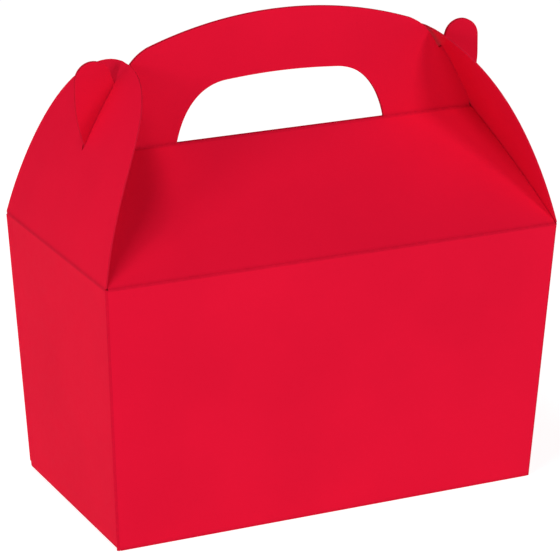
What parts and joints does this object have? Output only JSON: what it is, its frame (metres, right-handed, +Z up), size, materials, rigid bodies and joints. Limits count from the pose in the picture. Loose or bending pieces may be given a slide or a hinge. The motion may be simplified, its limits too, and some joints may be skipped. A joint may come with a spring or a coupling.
{
  "type": "gable carton with carrying handle",
  "caption": "Plain red folding paperboard gable box with an arched carrying handle, hooked end flaps and a snap-lock bottom.",
  "frame": {"origin": "centre of the footprint at the underside", "axes": "+X along the long side, +Z up, the front wall faces -Y; the closed carton is the rest pose"},
  "size_m": [0.159, 0.086, 0.1605],
  "materials": {
    "red_board": "coated red paperboard, satin, red on both faces",
    "dried_glue": "thin dried hot-melt glue line"
  },
  "bodies": {
    "carton_sleeve": {"front_wall": "red_board", "back_wall": "red_board", "left_wall": "red_board", "right_wall": "red_board", "seam_glue": "dried_glue", "glue_flap": "red_board"},
    "front_roof_panel": {"front_roof": "red_board"},
    "front_handle_panel": {"front_handle": "red_board"},
    "back_roof_panel": {"back_roof": "red_board"},
    "back_handle_panel": {"back_handle": "red_board"},
    "left_flap": {"left_end_flap": "red_board", "left_slot_lip": "red_board"},
    "right_flap": {"right_end_flap": "red_board", "right_slot_lip": "red_board"},
    "front_bottom": {"front_bottom_flap": "red_board", "lock_tongue": "red_board"},
    "back_bottom": {"back_bottom_flap": "red_board"},
    "left_bottom": {"left_bottom_flap": "red_board"},
    "right_bottom": {"right_bottom_flap": "red_board"}
  },
  "joints": [
    {"name": "left_flap_crease", "type": "hinge", "parent": "carton_sleeve", "child": "left_flap", "pos_m": [-0.0795, 0, 0.09], "axis": [0, -1, 0], "range_deg": [0, 165], "deforming": ["left_slot_lip"]},
    {"name": "right_flap_crease", "type": "hinge", "parent": "carton_sleeve", "child": "right_flap", "pos_m": [0.0795, 0, 0.09], "axis": [0, 1, 0], "range_deg": [0, 165], "deforming": ["right_slot_lip"]},
    {"name": "front_roof_crease", "type": "hinge", "parent": "carton_sleeve", "child": "front_roof_panel", "pos_m": [0, -0.043, 0.09], "axis": [1, 0, 0], "range_deg": [0, 55]},
    {"name": "back_roof_crease", "type": "hinge", "parent": "carton_sleeve", "child": "back_roof_panel", "pos_m": [0, 0.043, 0.09], "axis": [-1, 0, 0], "range_deg": [0, 55]},
    {"name": "front_handle_crease", "type": "hinge", "parent": "front_roof_panel", "child": "front_handle_panel", "pos_m": [0, -0.00065, 0.12], "axis": [-1, 0, 0], "range_deg": [0, 55]},
    {"name": "back_handle_crease", "type": "hinge", "parent": "back_roof_panel", "child": "back_handle_panel", "pos_m": [0, 0.00065, 0.12], "axis": [1, 0, 0], "range_deg": [0, 55]},
    {"name": "front_bottom_crease", "type": "hinge", "parent": "carton_sleeve", "child": "front_bottom", "pos_m": [0, -0.0377, 0], "axis": [-1, 0, 0], "range_deg": [0, 175], "deforming": ["lock_tongue"]},
    {"name": "back_bottom_crease", "type": "hinge", "parent": "carton_sleeve", "child": "back_bottom", "pos_m": [0, 0.0377, 0], "axis": [1, 0, 0], "range_deg": [0, 87.5]},
    {"name": "left_bottom_crease", "type": "hinge", "parent": "carton_sleeve", "child": "left_bottom", "pos_m": [-0.0742, 0, 0], "axis": [0, 1, 0], "range_deg": [0, 157.5]},
    {"name": "right_bottom_crease", "type": "hinge", "parent": "carton_sleeve", "child": "right_bottom", "pos_m": [0.0742, 0, 0], "axis": [0, -1, 0], "range_deg": [0, 157.5]}
  ],
  "couplings": [
    {"joint": "right_flap_crease", "follows": "left_flap_crease", "ratio": 1},
    {"joint": "front_roof_crease", "follows": "left_flap_crease", "ratio": 0.33333},
    {"joint": "back_roof_crease", "follows": "left_flap_crease", "ratio": 0.33333},
    {"joint": "front_handle_crease", "follows": "left_flap_crease", "ratio": 0.33333},
    {"joint": "back_handle_crease", "follows": "left_flap_crease", "ratio": 0.33333},
    {"joint": "back_bottom_crease", "follows": "front_bottom_crease", "ratio": 0.5},
    {"joint": "left_bottom_crease", "follows": "front_bottom_crease", "ratio": 0.9},
    {"joint": "right_bottom_crease", "follows": "front_bottom_crease", "ratio": 0.9}
  ]
}
